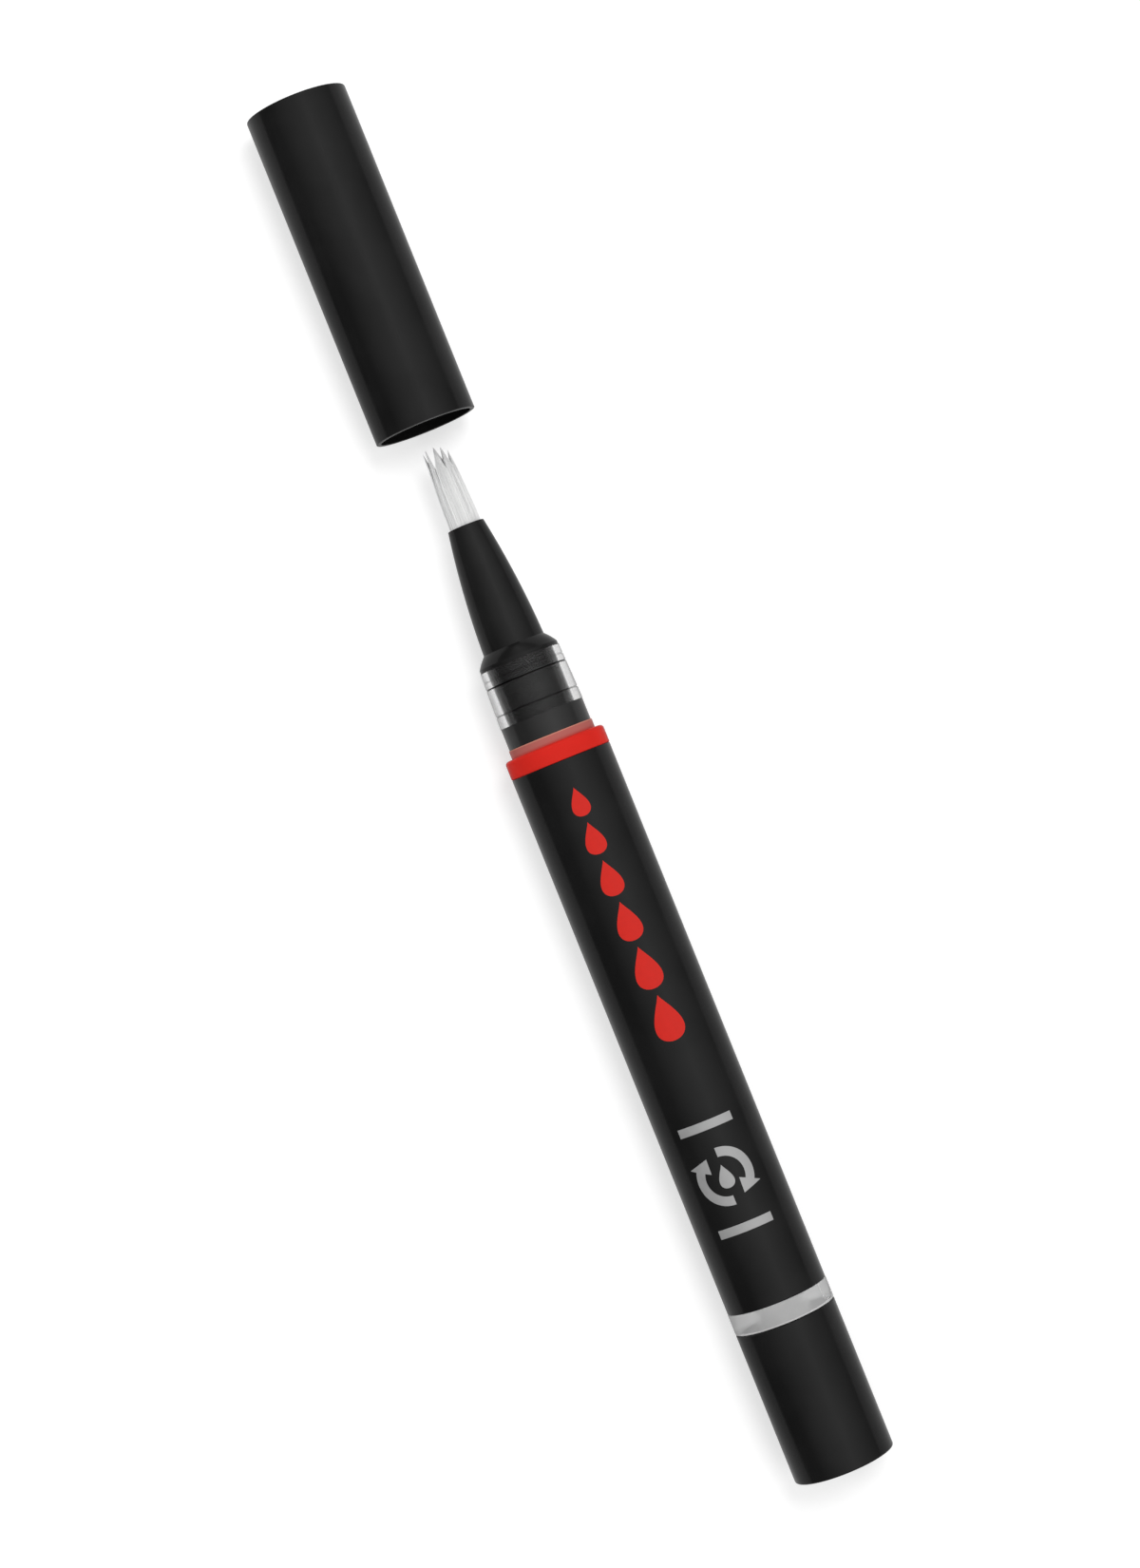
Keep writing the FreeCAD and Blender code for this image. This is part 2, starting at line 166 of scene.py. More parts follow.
# Clumps at the tip: sideways place to the right of the pen, height over the axis and length in
# front of the nozzle, all in millimetres here, and the share of the length at which they part
Clump = namedtuple("Clump", "sideways height length split")
CLUMPS = [
    Clump(sideways * MM, height * MM, length * MM, split)
    for sideways, height, length, split in (
        (-1.45, 0.10, 9.15, 0.62),
        (-1.05, 0.66, 9.37, 0.56),
        (-1.03, -0.64, 9.17, 0.56),
        (-0.12, 1.02, 9.32, 0.76),
        (-0.08, 0.05, 9.40, 0.76),
        (-0.14, -0.98, 9.12, 0.76),
        (0.62, 0.78, 9.12, 0.80),
        (0.64, -0.72, 9.02, 0.80),
        (1.24, 0.30, 8.57, 0.80),
        (1.22, -0.40, 8.42, 0.80),
    )
]

# Marks printed on the barrel: a row of red drops that shrink towards the brush, and a silver
# turn mark near the knob
INK_THICKNESS = 0.012 * MM
INK_STEP = 0.25 * MM
DROP_COUNT = 6
DROP_ROW_FRONT = 3.2 * MM
DROP_GAP = 0.75 * MM
DROP_LENGTHS = (5.3 * MM, 3.3 * MM)
DROP_SLIMNESS = 0.62
DROP_POINTS = 44
DROP_TAPER = 1.5
DROP_BULGE = 1.43
DROP_ROW_ACROSS = 0.2 * MM
TURN_MARK_FROM_COLLAR = 14.9 * MM
TURN_MARK_ACROSS = -0.3 * MM
TURN_RADIUS = 2.75 * MM
TURN_WIDTH = 1.05 * MM
TURN_ARC = math.radians(116)
ARROW_STEPS = 20
ARROW_WIDTH = 2.5 * MM
ARROW_ANGLE = math.radians(36)
TURN_DROP = 2.7 * MM
BAR_DISTANCE = 5.9 * MM
BAR_LENGTH = 6.4 * MM
BAR_WIDTH = 1.0 * MM


# Node helpers


def node(tree, kind, settings=None, **inputs):
    """New shader node, with its settings and with input sockets linked or set by name."""
    made = tree.nodes.new("ShaderNode" + kind)
    for name, value in (settings or {}).items():
        setattr(made, name, value)
    for name, value in inputs.items():
        socket = made.inputs[name.replace("_", " ")]
        if isinstance(value, bpy.types.NodeSocket):
            tree.links.new(value, socket)
        else:
            socket.default_value = value
    return made


def math_node(tree, operation, first, second=0.0, clamp=False):
    """One arithmetic step on numbers or sockets."""
    made = tree.nodes.new("ShaderNodeMath")
    made.operation = operation
    made.use_clamp = clamp
    for socket, value in zip(made.inputs, (first, second)):
        if isinstance(value, bpy.types.NodeSocket):
            tree.links.new(value, socket)
        else:
            socket.default_value = value
    return made.outputs[0]


def mix_colour(tree, share, first, second):
    """Colour between first and second; share is a number or socket from 0 to 1."""
    made = tree.nodes.new("ShaderNodeMix")
    made.data_type = "RGBA"
    colour_sockets = [s for s in made.inputs if s.type == "RGBA"]
    for socket, value in zip([made.inputs[0], *colour_sockets], (share, first, second)):
        if isinstance(value, bpy.types.NodeSocket):
            tree.links.new(value, socket)
        else:
            socket.default_value = value
    return next(s for s in made.outputs if s.type == "RGBA")


def ramp(tree, value, low, high, to_low=0.0, to_high=1.0):
    """Smooth step of a socket from one range to another."""
    made = node(
        tree,
        "MapRange",
        {"interpolation_type": "SMOOTHSTEP"},
        Value=value,
        From_Min=low,
        From_Max=high,
        To_Min=to_low,
        To_Max=to_high,
    )
    return made.outputs["Result"]


def grey(value):
    """Opaque grey."""
    return (value, value, value, 1.0)


def new_material(name):
    """Material with a Principled shader, and its tree and object coordinates."""
    material = bpy.data.materials.new(name)
    material.use_nodes = True
    tree = material.node_tree
    shader = tree.nodes["Principled BSDF"]
    coordinates = tree.nodes.new("ShaderNodeTexCoord").outputs["Object"]
    return material, tree, shader, coordinates


def noise(tree, coordinates, grain, detail=2.0, stretch=None):
    """Noise whose lumps are about grain metres across, stretched along X if asked."""
    if stretch:
        scale = node(tree, "Mapping", Vector=coordinates, Scale=(1 / stretch, 1, 1))
        coordinates = scale.outputs["Vector"]
    made = node(tree, "TexNoise", Vector=coordinates, Scale=1 / grain, Detail=detail)
    return made.outputs["Fac"]


def along_pen(tree, coordinates):
    """Place along the pen as a socket."""
    return node(tree, "SeparateXYZ", Vector=coordinates).outputs["X"]


def add_bump(tree, shader, height, depth, strength=0.5):
    """Fine relief from a height socket."""
    bump = node(tree, "Bump", Height=height, Distance=depth, Strength=strength)
    tree.links.new(bump.outputs["Normal"], shader.inputs["Normal"])


def uneven_gloss(tree, shader, cloud, low, high):
    """Roughness that follows the clouding between two values."""
    tree.links.new(ramp(tree, cloud, *CLOUD_RANGE, low, high), shader.inputs["Roughness"])


def joined_shading():
    """Modifier tree that closes a solid's seams and shades it smooth up to its sharp edges."""
    tree = bpy.data.node_groups.new("joined_shading", "GeometryNodeTree")
    for direction in ("INPUT", "OUTPUT"):
        tree.interface.new_socket("Geometry", in_out=direction, socket_type="NodeSocketGeometry")
    start = tree.nodes.new("NodeGroupInput")
    joined = tree.nodes.new("GeometryNodeMergeByDistance")
    joined.inputs["Distance"].default_value = SEAM_GAP
    plain = tree.nodes.new("GeometryNodeRemoveAttribute")
    plain.inputs["Name"].default_value = "custom_normal"
    rounded = tree.nodes.new("GeometryNodeSetShadeSmooth")
    edge_angle = tree.nodes.new("GeometryNodeInputMeshEdgeAngle")
    is_sharp = tree.nodes.new("FunctionNodeCompare")
    is_sharp.operation = "GREATER_THAN"
    is_sharp.inputs["B"].default_value = SHARP_EDGE
    creased = tree.nodes.new("GeometryNodeSetShadeSmooth")
    creased.domain = "EDGE"
    creased.inputs["Shade Smooth"].default_value = False
    end = tree.nodes.new("NodeGroupOutput")
    tree.links.new(edge_angle.outputs["Unsigned Angle"], is_sharp.inputs["A"])
    tree.links.new(is_sharp.outputs["Result"], creased.inputs["Selection"])
    steps = [start, joined, plain, rounded, creased, end]
    for before, after in zip(steps, steps[1:]):
        tree.links.new(before.outputs["Geometry"], after.inputs["Geometry"])
    return tree


def dress(name, material):
    """Gives a solid's object its finish."""
    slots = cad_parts[name].data.materials
    slots.clear()
    slots.append(material)


# Materials


def satin_black(name, dark, light, rough, highlight_rim=None):
    """Moulded black plastic: faint clouding, fine grain, and hairline scuffs along the pen.

    The last argument gives the X of a rim that is painted paler as a highlight, and made duller.
    """
    material, tree, shader, coordinates = new_material(name)
    cloud = noise(tree, coordinates, 6 * MM, 3.0)
    colour = mix_colour(tree, ramp(tree, cloud, 0.35, 0.65), grey(dark), grey(light))
    scuffs = noise(tree, coordinates, 0.12 * MM, 3.0, stretch=60)
    scuff_share = ramp(tree, scuffs, 0.60, 0.78, 0.0, 0.10)
    patches = ramp(tree, cloud, *CLOUD_RANGE, rough - 0.03, rough + 0.03)
    roughness = math_node(tree, "ADD", patches, scuff_share)
    if highlight_rim is not None:
        start, end = (highlight_rim + width for width in RIM_HIGHLIGHT_WIDTH)
        # Painted highlight: the rim band is painted paler; the same band is also made duller
        rim_highlight_and_dulling = ramp(tree, along_pen(tree, coordinates), start, end, 1.0, 0.0)
        colour = mix_colour(tree, rim_highlight_and_dulling, colour, grey(RIM_HIGHLIGHT_GREY))
        roughness = math_node(tree, "ADD", roughness, math_node(tree, "MULTIPLY", rim_highlight_and_dulling, RIM_DULLING))
    tree.links.new(colour, shader.inputs["Base Color"])
    tree.links.new(roughness, shader.inputs["Roughness"])
    grain = noise(tree, coordinates, 0.09 * MM, 2.0)
    add_bump(tree, shader, grain, 0.002 * MM)
    shader.inputs["Specular IOR Level"].default_value = 0.18
    return material


def soft_rubber():
    """Black rubber of the grip band and the piston's seal."""
    material, tree, shader, coordinates = new_material("soft_black_rubber")
    cloud = noise(tree, coordinates, 1.5 * MM, 3.0)
    colour = mix_colour(tree, cloud, grey(0.017), grey(0.021))
    tree.links.new(colour, shader.inputs["Base Color"])
    uneven_gloss(tree, shader, cloud, 0.16, 0.24)
    shader.inputs["Specular IOR Level"].default_value = 0.30
    add_bump(tree, shader, noise(tree, coordinates, 0.06 * MM), 0.001 * MM)
    return material


def red_ring():
    """Red plastic ring whose thin front lip lets light through and turns pink."""
    material, tree, shader, coordinates = new_material("red_ring_plastic")
    along = along_pen(tree, coordinates)
    cloud = noise(tree, coordinates, 2.5 * MM, 3.0)
    red = mix_colour(tree, cloud, *RING_REDS)
    lip = mix_colour(tree, ramp(tree, along, seat_x, seat_x + LIP_FADE), *LIP_PINKS)
    edge_start, edge_end = (ring_high.x - width for width in LIP_EDGE)
    lip = mix_colour(tree, ramp(tree, along, edge_start, edge_end), lip, LIP_EDGE_PINK)
    on_lip = ramp(tree, along, seat_x - SEAT_BLEND, seat_x + SEAT_BLEND)
    tree.links.new(mix_colour(tree, on_lip, red, lip), shader.inputs["Base Color"])
    uneven_gloss(tree, shader, cloud, 0.10, 0.16)
    add_bump(tree, shader, noise(tree, coordinates, 0.10 * MM), 0.0005 * MM)
    shader.inputs["Specular IOR Level"].default_value = 0.22
    shader.inputs["IOR"].default_value = 1.1
    shader.inputs["Transmission Weight"].default_value = 0.36
    return material


def clear_neck():
    """Clear, very slightly milky tube with faint flow streaks, and painted shade that darkens its fine
    moulded rings.
    """
    material, tree, shader, coordinates = new_material("clear_tube_plastic")
    along = along_pen(tree, coordinates)
    colour = grey(0.70)
    # Painted shade: each moulded ring is a dark band in the tube's colour
    for behind_dome, shade_pass in SHADED_NECK_RINGS:
        offset = math_node(tree, "SUBTRACT", along, tube_high.x - behind_dome)
        distance = math_node(tree, "ABSOLUTE", offset)
        ring = ramp(tree, distance, NECK_RING_WIDTH / 4, NECK_RING_WIDTH / 2, 1.0, 0.0)
        colour = mix_colour(tree, ring, colour, grey(shade_pass))
    tree.links.new(colour, shader.inputs["Base Color"])
    shader.inputs["Transmission Weight"].default_value = 0.985
    shader.inputs["IOR"].default_value = 1.2
    streaks = noise(tree, coordinates, 0.8 * MM, 2.0, stretch=6)
    uneven_gloss(tree, shader, streaks, 0.04, 0.12)
    add_bump(tree, shader, streaks, 0.004 * MM, 0.4)
    return material


def grey_collar():
    """Milky grey plastic with painted highlights on its rear edge and on its moulded tongue lines."""
    material, tree, shader, coordinates = new_material("milky_grey_plastic")
    cloud = noise(tree, coordinates, 2.0 * MM, 3.0)
    colour = mix_colour(tree, cloud, grey(0.71), grey(0.77))
    place = node(tree, "SeparateXYZ", Vector=coordinates)
    over_axis = math_node(tree, "SUBTRACT", place.outputs["Z"], axis_z)
    from_axis = node(tree, "CombineXYZ", Y=place.outputs["Y"], Z=over_axis)
    radius = node(tree, "VectorMath", {"operation": "LENGTH"})
    tree.links.new(from_axis.outputs["Vector"], radius.inputs[0])
    deep, shallow = (outer_radius - depth for depth in HIGHLIGHT_LINE_DEPTHS)
    sunk_highlight = ramp(tree, radius.outputs["Value"], deep, shallow, 1.0, 0.0)
    edge_start, edge_end = (knob_high.x + width for width in REAR_EDGE_HIGHLIGHT)
    rear_edge_highlight = ramp(tree, place.outputs["X"], edge_start, edge_end, 1.0, 0.0)
    # Painted highlight: the sunk tongue lines and the rear edge are painted towards white
    light = math_node(tree, "MAXIMUM", sunk_highlight, rear_edge_highlight)
    tree.links.new(mix_colour(tree, light, colour, grey(1.0)), shader.inputs["Base Color"])
    uneven_gloss(tree, shader, cloud, 0.16, 0.24)
    add_bump(tree, shader, noise(tree, coordinates, 0.12 * MM), 0.001 * MM)
    shader.inputs["Specular IOR Level"].default_value = 0.25
    shader.inputs["IOR"].default_value = 1.08
    shader.inputs["Transmission Weight"].default_value = 0.55
    return material


def moulded_plastic(name, dark, light, rough):
    """Plain moulded plastic of the inner parts, with slight clouding and grain."""
    material, tree, shader, coordinates = new_material(name)
    cloud = noise(tree, coordinates, 2.5 * MM, 3.0)
    tree.links.new(mix_colour(tree, cloud, dark, light), shader.inputs["Base Color"])
    uneven_gloss(tree, shader, cloud, rough - GLOSS_SPREAD, rough + GLOSS_SPREAD)
    add_bump(tree, shader, noise(tree, coordinates, 0.1 * MM), 0.003 * MM)
    return material


def bristle_nylon():
    """White nylon, each bristle in its own shade, in faint darker and lighter locks."""
    material, tree, shader, coordinates = new_material("white_nylon")
    shade = node(tree, "Attribute", {"attribute_name": "shade"}).outputs["Fac"]
    colour = mix_colour(tree, shade, (0.93, 0.93, 0.93, 1), (0.99, 0.99, 0.985, 1))
    lock = noise(tree, coordinates, 0.5 * MM, 2.0, stretch=30)
    colour = mix_colour(tree, ramp(tree, lock, 0.35, 0.60), grey(0.88), colour)
    tree.links.new(colour, shader.inputs["Base Color"])
    streak = noise(tree, coordinates, 0.15 * MM, 2.0, stretch=12)
    uneven_gloss(tree, shader, streak, 0.30, 0.50)
    through = node(tree, "BsdfTranslucent", Color=colour)
    both = node(tree, "MixShader", Fac=0.18)
    tree.links.new(shader.outputs["BSDF"], both.inputs[1])
    tree.links.new(through.outputs["BSDF"], both.inputs[2])
    tree.links.new(both.outputs["Shader"], tree.nodes["Material Output"].inputs["Surface"])
    return material


def ink(name, colour, rough, metal=0.0):
    """Screen-printed ink: slightly uneven colour with a fine mesh texture."""
    material, tree, shader, coordinates = new_material(name)
    cloud = noise(tree, coordinates, 0.6 * MM, 3.0)
    thin = tuple(0.88 * part for part in colour[:3]) + (1,)
    tree.links.new(mix_colour(tree, cloud, thin, colour), shader.inputs["Base Color"])
    uneven_gloss(tree, shader, cloud, rough - GLOSS_SPREAD, rough + GLOSS_SPREAD)
    shader.inputs["Metallic"].default_value = metal
    shader.inputs["Specular IOR Level"].default_value = 0.12
    add_bump(tree, shader, noise(tree, coordinates, 0.08 * MM), 0.002 * MM)
    return material


# Bristles


def nearest_clump(sideways, height):
    """Clump whose tip lies nearest to a bristle's own place in the tuft."""
    def gap(clump):
        return math.hypot(clump.sideways - sideways, clump.height - height)
    return min(CLUMPS, key=gap)


def smooth(value):
    """Smooth step of a number from 0 to 1."""
    value = min(max(value, 0.0), 1.0)
    return value * value * (3 - 2 * value)


def bristle_line(sideways, height, chance):
    """Points along one bristle: straight at the root, drawn into its clump at the tip."""
    tip_sideways = sideways * TIP_SPREAD
    tip_height = height * TIP_SPREAD
    clump = nearest_clump(tip_sideways, tip_height)
    feed_radius = (feed_high.z - feed_low.z) / 2
    beside_feed = math.hypot(sideways, height) < feed_radius + 2 * BRISTLE_RADIUS
    root_x = feed_high.x + FEED_GAP if beside_feed else tuft_low.x
    from_middle = math.hypot(tip_sideways - clump.sideways, tip_height - clump.height)
    tip_x = nozzle_high.x + clump.length - TIP_ROUNDING * from_middle - chance.uniform(0, TIP_RAGGED)
    split = clump.split + chance.uniform(-SPLIT_SCATTER, SPLIT_SCATTER)
    sway_sideways = chance.uniform(-SWAY, SWAY)
    sway_height = chance.uniform(-SWAY, SWAY)
    points = []
    for ring in range(BRISTLE_RINGS):
        share = ring / (BRISTLE_RINGS - 1)
        x = root_x + (tip_x - root_x) * share
        out = max(0.0, (x - nozzle_high.x) / (tip_x - nozzle_high.x))
        flare = 1 + FLARE / ROOT_RADIUS * smooth(out / FLARE_SHARE)
        spread = flare * (1 - (1 - TIP_SPREAD) * out)
        gather = smooth((out - split) / (1 - split))
        wave = math.sin(math.pi * out)
        y = sideways * spread
        z = height * spread
        y += (clump.sideways + (y - clump.sideways) * CLUMP_SHARE - y) * gather + sway_sideways * wave
        z += (clump.height + (z - clump.height) * CLUMP_SHARE - z) * gather + sway_height * wave
        points.append((x, axis_y - y, axis_z + z, BRISTLE_RADIUS * (1 - TIP_THINNING * out ** 3)))
    return points


def add_tube(points, shade, vertices, faces, shades):
    """Closed thin tube along points (x, y, z, radius), added to the mesh lists."""
    first = len(vertices)
    for x, y, z, radius in points:
        for side in range(BRISTLE_SIDES):
            angle = 2 * math.pi * side / BRISTLE_SIDES
            vertices.append((x, y + radius * math.cos(angle), z + radius * math.sin(angle)))
            shades.append(shade)
    for ring in range(len(points) - 1):
        for side in range(BRISTLE_SIDES):
            corner = first + ring * BRISTLE_SIDES + side
            beside = first + ring * BRISTLE_SIDES + (side + 1) % BRISTLE_SIDES
            faces.append((corner, beside, beside + BRISTLE_SIDES, corner + BRISTLE_SIDES))
    last = first + (len(points) - 1) * BRISTLE_SIDES
    faces.append(tuple(first + side for side in reversed(range(BRISTLE_SIDES))))
    faces.append(tuple(last + side for side in range(BRISTLE_SIDES)))


def bristles():
    """Tuft of separate bristles on an even spiral, in the place of the tuft's solid."""
    chance = random.Random(7)
    golden = math.pi * (3 - math.sqrt(5))
    vertices, faces, shades = [], [], []
    for number in range(BRISTLE_COUNT):
        radius = ROOT_RADIUS * math.sqrt((number + 0.5) / BRISTLE_COUNT)
        angle = number * golden
        line = bristle_line(radius * math.cos(angle), radius * math.sin(angle), chance)
        add_tube(line, chance.random(), vertices, faces, shades)
    mesh = bpy.data.meshes.new("bristles")
    mesh.from_pydata(vertices, [], faces)
    mesh.attributes.new("shade", "FLOAT", "POINT").data.foreach_set("value", shades)
    mesh.shade_smooth()
    tuft = bpy.data.objects.new("bristles", mesh)
    bpy.context.scene.collection.objects.link(tuft)
    mesh.materials.append(bristle_nylon())
    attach(tuft, "barrel")
    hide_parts("bristle_tuft")


# Printed marks


def wrapped_print(name, outlines, material):
    """Thin ink on the barrel from flat outlines of (along, around) points in metres."""
    work = bmesh.new()
    for outline in outlines:
        corners = [work.verts.new((along, around, 0)) for along, around in outline]
        work.faces.new(corners)
    bmesh.ops.remove_doubles(work, verts=work.verts[:], dist=INK_THICKNESS / 10)
    bmesh.ops.triangulate(work, faces=work.faces[:])
    reach = max(abs(around) for outline in outlines for _, around in outline)
    steps = int(reach / INK_STEP) + 1
    for step in range(-steps, steps + 1):
        everything = work.verts[:] + work.edges[:] + work.faces[:]
        cut = (0, (step + 0.5) * INK_STEP, 0)
        bmesh.ops.bisect_plane(work, geom=everything, plane_co=cut, plane_no=(0, 1, 0))
    bmesh.ops.recalc_face_normals(work, faces=work.faces[:])
    raised = bmesh.ops.extrude_face_region(work, geom=work.faces[:])
    for vertex in [g for g in raised["geom"] if isinstance(g, bmesh.types.BMVert)]:
        vertex.co.z = INK_THICKNESS
    for vertex in work.verts:
        along, around, height = vertex.co
        angle = around / barrel_radius
        radius = barrel_radius + height
        vertex.co = (along, axis_y - radius * math.sin(angle), axis_z + radius * math.cos(angle))
    bmesh.ops.recalc_face_normals(work, faces=work.faces[:])
    mesh = bpy.data.meshes.new(name)
    work.to_mesh(mesh)
    work.free()
    mesh.materials.append(material)
    mark = bpy.data.objects.new(name, mesh)
    bpy.context.scene.collection.objects.link(mark)
    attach(mark, "barrel")


def teardrop(middle, across, length):
    """Outline of an oil drop with its point towards the brush."""
    outline = []
    for step in range(DROP_POINTS):
        turn = 2 * math.pi * step / DROP_POINTS
        half_width = length * DROP_SLIMNESS / 2
        bulge = DROP_BULGE * math.sin(turn) * math.sin(turn / 2) ** DROP_TAPER
        along = middle + length / 2 * math.cos(turn)
        outline.append((along, across + half_width * bulge))
    return outline


def red_drops():
    """Row of drops from the rear to the front, each shorter than the one before."""
    first, last = DROP_LENGTHS
    lengths = [first + (last - first) * number / (DROP_COUNT - 1) for number in range(DROP_COUNT)]
    front = barrel_high.x - DROP_ROW_FRONT
    outlines = []
    for length in reversed(lengths):
        outlines.append(teardrop(front - length / 2, DROP_ROW_ACROSS, length))
        front -= length + DROP_GAP
    red = ink("red_ink", (0.62, 0.024, 0.017, 1), 0.42)
    wrapped_print("drop_row_print", outlines, red)


def turn_arrow(middle, start):
    """Curved arrow about the turn mark's middle, as short flat pieces and a head."""
    def place(radius, angle):
        return middle + radius * math.cos(angle), TURN_MARK_ACROSS + radius * math.sin(angle)

    inner = TURN_RADIUS - TURN_WIDTH / 2
    outer = TURN_RADIUS + TURN_WIDTH / 2
    outlines = []
    for step in range(ARROW_STEPS):
        here = start + TURN_ARC * step / ARROW_STEPS
        there = start + TURN_ARC * (step + 1) / ARROW_STEPS
        outlines.append([place(inner, here), place(outer, here), place(outer, there), place(inner, there)])
    end = start + TURN_ARC
    tip = place(TURN_RADIUS, end + ARROW_ANGLE)
    base = [TURN_RADIUS - ARROW_WIDTH / 2, inner, outer, TURN_RADIUS + ARROW_WIDTH / 2]
    for near, far in zip(base, base[1:]):
        outlines.append([place(near, end), place(far, end), tip])
    return outlines


def silver_turn_mark():
    """Two curved arrows about a drop, between two bars."""
    middle = barrel_low.x + TURN_MARK_FROM_COLLAR
    outlines = turn_arrow(middle, 0.0) + turn_arrow(middle, math.pi)
    outlines.append(teardrop(middle, TURN_MARK_ACROSS, TURN_DROP))
    for side in (-1, 1):
        near = middle + side * (BAR_DISTANCE - BAR_WIDTH / 2)
        far = middle + side * (BAR_DISTANCE + BAR_WIDTH / 2)
        left = TURN_MARK_ACROSS - BAR_LENGTH / 2
        right = TURN_MARK_ACROSS + BAR_LENGTH / 2
        outlines.append([(near, left), (far, left), (far, right), (near, right)])
    silver = ink("silver_ink", (0.42, 0.42, 0.42, 1), 0.40, metal=0.35)
    wrapped_print("turn_mark_print", outlines, silver)


# Stage


def floor():
    """White table that fills the view and keeps the pen's shadow."""
    mesh = bpy.data.meshes.new("floor")
    corners = [(x * TABLE_HALF, y * TABLE_HALF, 0) for x, y in ((-1, -1), (1, -1), (1, 1), (-1, 1))]
    mesh.from_pydata(corners, [], [(0, 1, 2, 3)])
    table = bpy.data.objects.new("floor", mesh)
    bpy.context.scene.collection.objects.link(table)
    material = bpy.data.materials.new("white_table")
    material.use_nodes = True
    tree = material.node_tree
    tree.nodes.clear()
    path = tree.nodes.new("ShaderNodeLightPath")
    place = tree.nodes.new("ShaderNodeTexCoord").outputs["Object"]
    sideways = node(tree, "SeparateXYZ", Vector=place).outputs["Y"]
    beside = ramp(tree, math_node(tree, "ABSOLUTE", sideways), *MIRRORED_STRIP, 1.0, 0.0)
    mirrored = math_node(tree, "MULTIPLY", path.outputs["Is Glossy Ray"], beside)
    mirrored = math_node(tree, "MULTIPLY", mirrored, MIRRORED_LIFT)
    seen = math_node(tree, "MAXIMUM", path.outputs["Is Camera Ray"], path.outputs["Is Transmission Ray"])
    lift = math_node(tree, "MAXIMUM", mirrored, math_node(tree, "MULTIPLY", seen, FLOOR_LIFT))
    glow = node(tree, "Emission", Color=grey(1.0), Strength=lift)
    white = node(tree, "BsdfDiffuse", Color=grey(FLOOR_GREY))
    both = tree.nodes.new("ShaderNodeAddShader")
    tree.links.new(white.outputs[0], both.inputs[0])
    tree.links.new(glow.outputs[0], both.inputs[1])
    output = tree.nodes.new("ShaderNodeOutputMaterial")
    tree.links.new(both.outputs[0], output.inputs["Surface"])
    mesh.materials.append(material)


def world_light():
    """Long overhead strip along the pen, brightest right of it, that fades to dim walls.

    Seen straight, or low down through clear plastic, the surroundings are white.
    """
    world = bpy.data.worlds.new("studio")
    bpy.context.scene.world = world
    world.use_nodes = True
    tree = world.node_tree
    background = tree.nodes["Background"]
    background.inputs["Color"].default_value = grey(1.0)
    direction = tree.nodes.new("ShaderNodeTexCoord").outputs["Generated"]
    place = node(tree, "SeparateXYZ", Vector=direction)
    angle = math_node(tree, "ARCTAN2", place.outputs["Y"], place.outputs["Z"])
    from_strip = math_node(tree, "ABSOLUTE", math_node(tree, "ADD", angle, STRIP_TILT))
    level = node(
        tree,
        "MapRange",
        Value=from_strip,
        From_Min=0.0,
        From_Max=STRIP_REACH,
        To_Min=STRIP_LEVEL,
        To_Max=WALL_LEVEL,
    )
    towards_ends = math_node(tree, "ABSOLUTE", place.outputs["X"])
    ends = ramp(tree, towards_ends, *END_FADE, 1.0, STRIP_ENDS)
    lit = math_node(tree, "MULTIPLY", level.outputs["Result"], ends)
    ray = tree.nodes.new("ShaderNodeLightPath")
    low_down = ramp(tree, place.outputs["Z"], *WHITE_BELOW, 1.0, 0.0)
    through = math_node(tree, "MULTIPLY", ray.outputs["Is Transmission Ray"], low_down)
    bounces = math_node(tree, "ADD", ray.outputs["Glossy Depth"], ray.outputs["Diffuse Depth"])
    through = math_node(tree, "MULTIPLY", through, math_node(tree, "LESS_THAN", bounces, 1.0))
    seen = math_node(tree, "MAXIMUM", ray.outputs["Is Camera Ray"], through)
    tree.links.new(math_node(tree, "MAXIMUM", lit, seen), background.inputs["Strength"])


def soft_lamp(name, size, watts, place):
    """Round soft lamp that looks at the pen and doesn't show in its gloss.

    place is how far up from the table, right in the picture and up the picture it stands.
    """
    light = bpy.data.lights.new(name, "AREA")
    light.shape = "DISK"
    light.size = size
    light.energy = watts
    lamp = bpy.data.objects.new(name, light)
    upward, rightward, up_picture = place
    lamp.location = upward * Vector((0, 0, 1)) + rightward * PICTURE_RIGHT + up_picture * PICTURE_UP
    lamp.rotation_euler = (-lamp.location).to_track_quat("-Z", "Y").to_euler()
    lamp.visible_glossy = False
    lamp.visible_transmission = False
    bpy.context.scene.collection.objects.link(lamp)


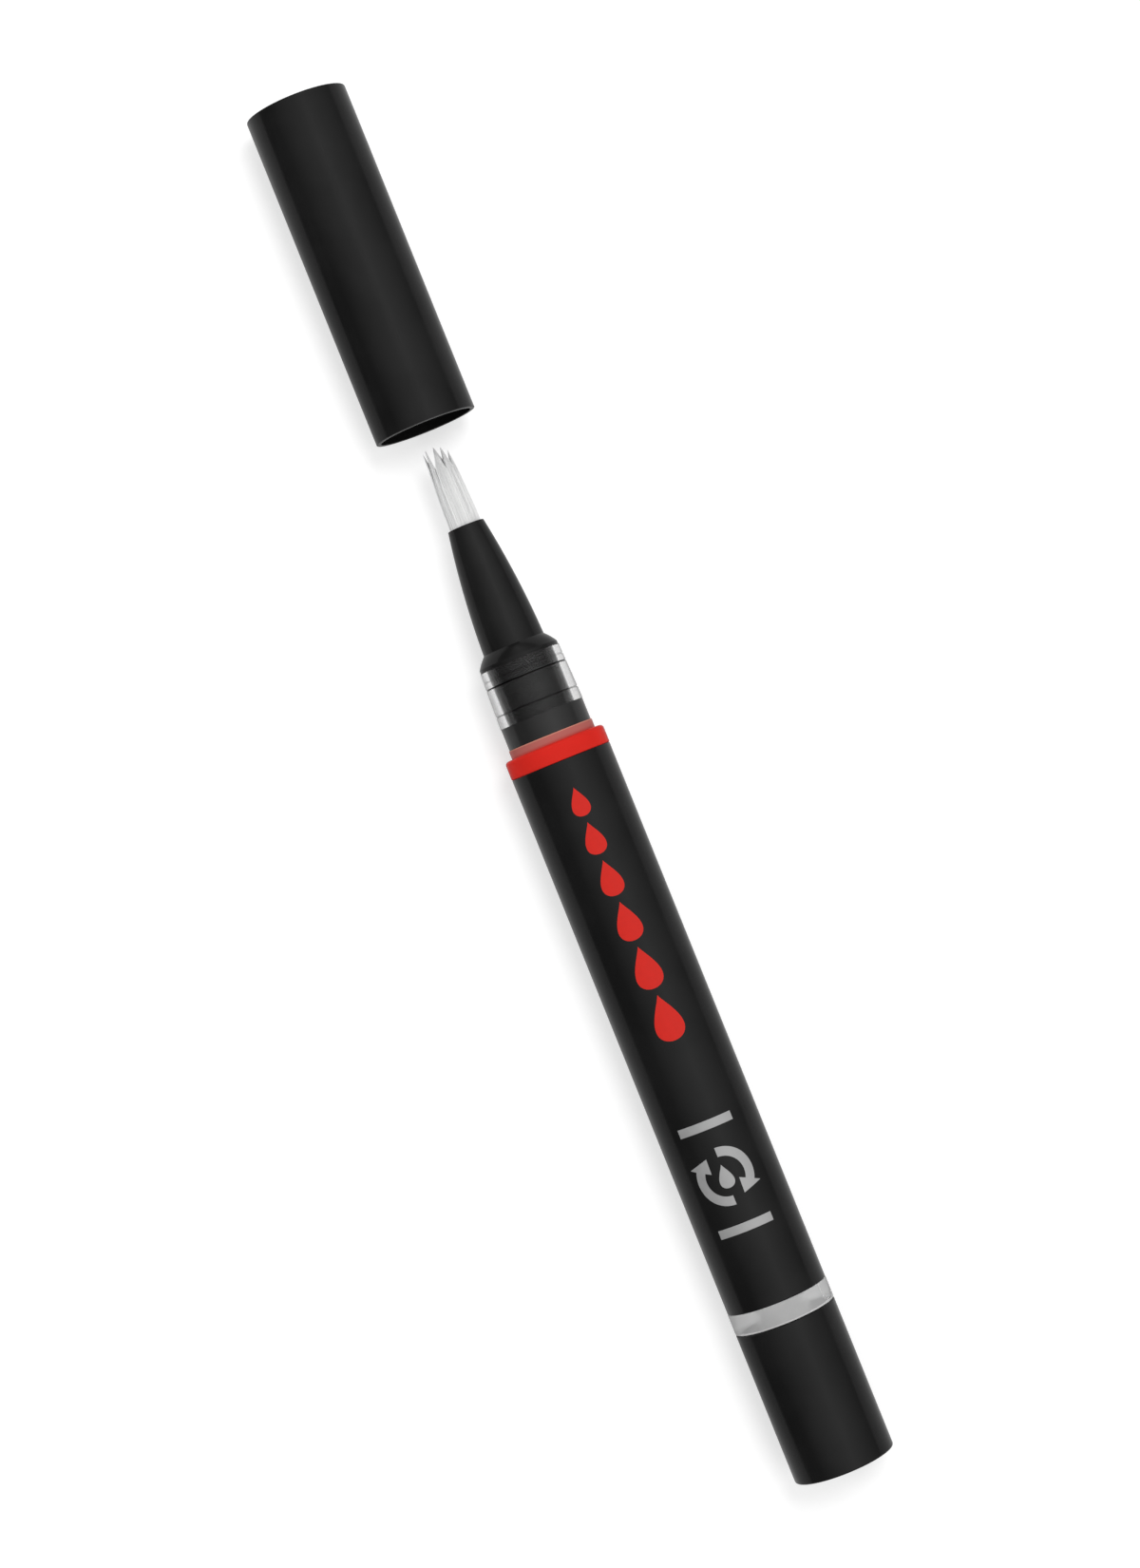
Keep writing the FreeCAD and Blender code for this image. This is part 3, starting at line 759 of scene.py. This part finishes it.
def lamps():
    """Key overhead, up the picture and a little to its right, and a low fill on its left."""
    soft_lamp("key", KEY_SIZE, KEY_WATTS, KEY_PLACE)
    soft_lamp("fill", FILL_SIZE, FILL_WATTS, FILL_PLACE)


def camera():
    """Looks straight down on the middle of the layout, rolled so that the pen leans left."""
    pitch = (cad_high.x - cad_low.x) / LAYOUT_PIXELS
    distance = CAMERA_PIXELS * pitch
    lens = bpy.data.cameras.new("camera")
    lens.sensor_width = SENSOR
    lens.lens = SENSOR * distance / (PHOTO_HEIGHT * pitch)
    lens.clip_start = 0.01
    view = bpy.data.objects.new("camera", lens)
    view.location = ((cad_low.x + cad_high.x) / 2, axis_y, axis_z + distance)
    view.rotation_euler = (0, 0, -PEN_LEAN - math.pi / 2)
    bpy.context.scene.collection.objects.link(view)
    bpy.context.scene.camera = view


# The scene


def dress_solids():
    """Closed seams and a finish for every solid."""
    shading = joined_shading()
    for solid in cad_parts.values():
        solid.modifiers.new("joined_shading", "NODES").node_group = shading
    shell = satin_black("satin_black_shell", 0.0085, 0.0105, 0.18)
    for name in ("knob_shell", "barrel_sleeve"):
        dress(name, shell)
    dress("cap_shell", satin_black("satin_black_cap", 0.0085, 0.0105, 0.18, highlight_rim=cap_low.x))
    dress("nozzle", satin_black("satin_black_nozzle", 0.0095, 0.0115, 0.18))
    dress("cap_liner", satin_black("matt_black_liner", 0.004, 0.006, 0.55))
    rubber = soft_rubber()
    for name in ("cap_grip_band", "piston_seal"):
        dress(name, rubber)
    dress("shoulder_ring", red_ring())
    dress("reservoir_tube", clear_neck())
    dress("rear_collar", grey_collar())
    white = moulded_plastic("natural_white_plastic", (0.68, 0.68, 0.66, 1), (0.78, 0.78, 0.76, 1), 0.42)
    for name in ("drive_sleeve", "click_ring", "drive_nut", "lead_screw"):
        dress(name, white)
    for name in ("tuft_ferrule", "feed_plug", "feed_tube"):
        dress(name, white)
    milky = moulded_plastic("milky_piston_plastic", (0.62, 0.63, 0.63, 1), (0.74, 0.75, 0.75, 1), 0.38)
    dress("piston", milky)


bpy.context.scene.view_settings.view_transform = "Standard"
dress_solids()
bristles()
red_drops()
silver_turn_mark()
floor()
world_light()
lamps()
camera()
